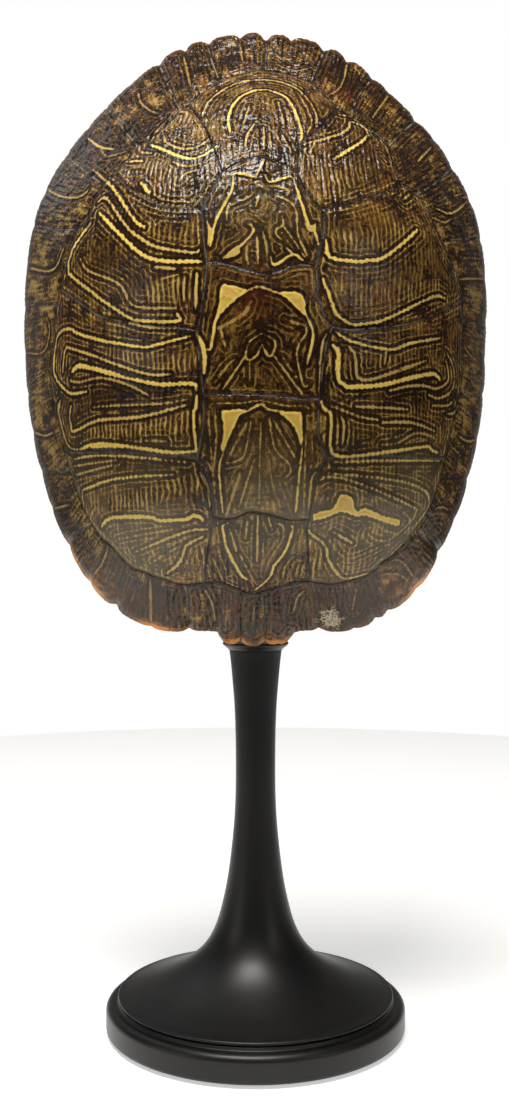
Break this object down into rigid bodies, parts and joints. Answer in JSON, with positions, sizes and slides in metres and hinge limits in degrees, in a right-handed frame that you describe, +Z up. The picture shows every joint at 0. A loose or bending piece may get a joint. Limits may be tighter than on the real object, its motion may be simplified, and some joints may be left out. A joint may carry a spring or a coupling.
{
  "type": "mounted turtle shell",
  "caption": "Domed turtle carapace with marginal, pleural and vertebral scutes, mounted upright on a turned black stand by a rod and bracket in its hollow.",
  "frame": {"origin": "centre of the felt pad's underside, on the surface the stand rests on", "axes": "+Z up through the stand's column to the shell's tail end; -Y out of the dome's front; +X to the right when facing the dome"},
  "size_m": [0.2254, 0.1522, 0.4714],
  "materials": {
    "horn_scutes": "varnished keratin scutes over bone, near-black brown with ochre lines",
    "felt": "thin dark felt",
    "black_wood": "satin black lacquer on turned wood",
    "black_steel": "matte black paint",
    "screw_steel": "plain steel"
  },
  "bodies": {
    "root": {"carapace": "horn_scutes", "felt_pad": "felt", "stand_foot": "black_wood", "stand_column": "black_wood", "stand_collar": "black_wood", "support_rod": "black_steel", "spine_bracket": "black_steel", "bracket_screw_upper": "screw_steel", "bracket_screw_lower": "screw_steel"}
  },
  "joints": []
}
